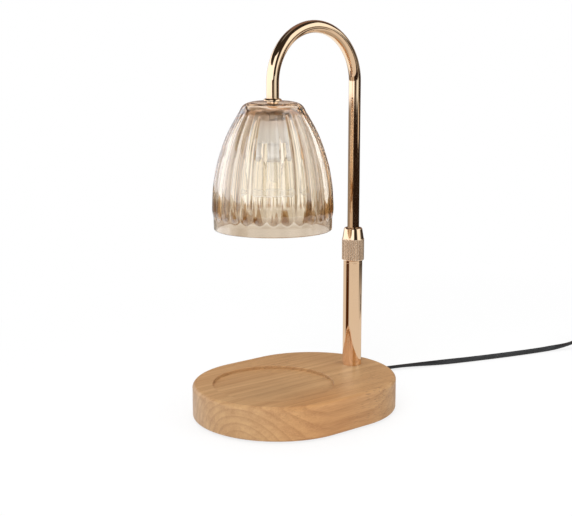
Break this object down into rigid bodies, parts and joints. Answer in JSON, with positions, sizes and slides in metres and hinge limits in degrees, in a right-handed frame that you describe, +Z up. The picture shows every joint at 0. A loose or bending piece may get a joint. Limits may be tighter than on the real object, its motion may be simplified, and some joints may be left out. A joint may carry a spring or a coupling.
{
  "type": "candle warmer lamp",
  "caption": "Table lamp that warms a candle from above: oval wood base with a round recess, telescopic post, bent crook tube and a fluted glass shade on a corded dimmer.",
  "frame": {"origin": "on the table, under the middle of the oval base", "axes": "+X from the candle recess to the post, +Z up, +Y to the left of +X"},
  "size_m": [0.6094, 0.236, 0.3561],
  "materials": {
    "wood": "satin clear coat",
    "foot_rubber": "matte",
    "cover_plastic": "matte",
    "zinc_steel": "plain",
    "gold_polished": "polished",
    "gold_satin": "knurled satin",
    "nylon": "plain",
    "silicone": "matte",
    "amber_glass": "clear tinted",
    "ceramic": "glazed",
    "contact_brass": "plain",
    "bulb_mirror": "polished",
    "clear_glass": "clear",
    "black_cord": "satin",
    "inner_lead": "satin",
    "black_plastic": "semi-gloss",
    "board_green": "matte",
    "tie_black": "matte"
  },
  "bodies": {
    "base": {"wood_base": "wood", "rubber_feet": "foot_rubber", "bottom_cover": "cover_plastic", "cover_screws": "zinc_steel", "terminal_block": "nylon", "terminal_screws": "zinc_steel", "base_lead": "inner_lead", "post_lead": "inner_lead", "post_foot": "zinc_steel", "stud_washer": "zinc_steel", "stud_nut": "zinc_steel", "post_tube": "gold_polished", "post_ferrule": "gold_polished", "post_liner": "nylon", "clamp_collet": "nylon", "cord_relief": "black_cord", "cord_run": "black_cord", "cord_lead": "black_cord", "cord_coil": "black_cord", "coil_tie": "tie_black", "cord_tail": "black_cord", "dimmer_lower_shell": "black_plastic", "dimmer_upper_shell": "black_plastic", "dimmer_screws": "zinc_steel", "dimmer_board": "board_green", "dimmer_regulator": "nylon", "dimmer_reliefs": "black_cord", "plug_body": "black_plastic", "plug_blades": "contact_brass"},
    "clamp_nut": {"clamp_nut": "gold_satin"},
    "guide_bush": {"guide_bush": "nylon"},
    "crook": {"guide_clips": "zinc_steel", "crook_tube": "gold_polished", "crook_grommet": "foot_rubber", "crook_lead": "inner_lead", "crook_nipple": "zinc_steel", "neck_ring": "gold_polished", "shade_gaskets": "silicone", "glass_shade": "amber_glass", "holder_bracket": "zinc_steel", "shade_lock_nut": "zinc_steel", "lamp_holder": "ceramic", "holder_contacts": "contact_brass", "holder_screws": "zinc_steel"},
    "bulb": {"bulb_base": "ceramic", "bulb_pins": "zinc_steel", "bulb_reflector": "bulb_mirror", "bulb_lens": "clear_glass", "bulb_capsule": "clear_glass"},
    "dimmer_wheel": {"dimmer_wheel": "black_plastic"}
  },
  "joints": [
    {"name": "clamp_turn", "type": "hinge", "parent": "base", "child": "clamp_nut", "pos_m": [0.0715, 0, 0.15], "axis": [0, 0, 1], "range_deg": [0, 180]},
    {"name": "height_slide", "type": "slide", "parent": "base", "child": "guide_bush", "axis": [0, 0, 1], "range_m": [-0.05, 0.01]},
    {"name": "crook_swivel", "type": "hinge", "parent": "guide_bush", "child": "crook", "pos_m": [0.0715, 0, 0.2], "axis": [0, 0, 1], "range_deg": [-170, 170]},
    {"name": "bulb_twist", "type": "hinge", "parent": "crook", "child": "bulb", "pos_m": [-0.0265, 0, 0.24], "axis": [0, 0, 1], "range_deg": [-25, 0]},
    {"name": "dimmer_turn", "type": "hinge", "parent": "base", "child": "dimmer_wheel", "pos_m": [0.43249, -0.04398, 0.009], "axis": [0, 0, 1], "range_deg": [0, 270]}
  ]
}
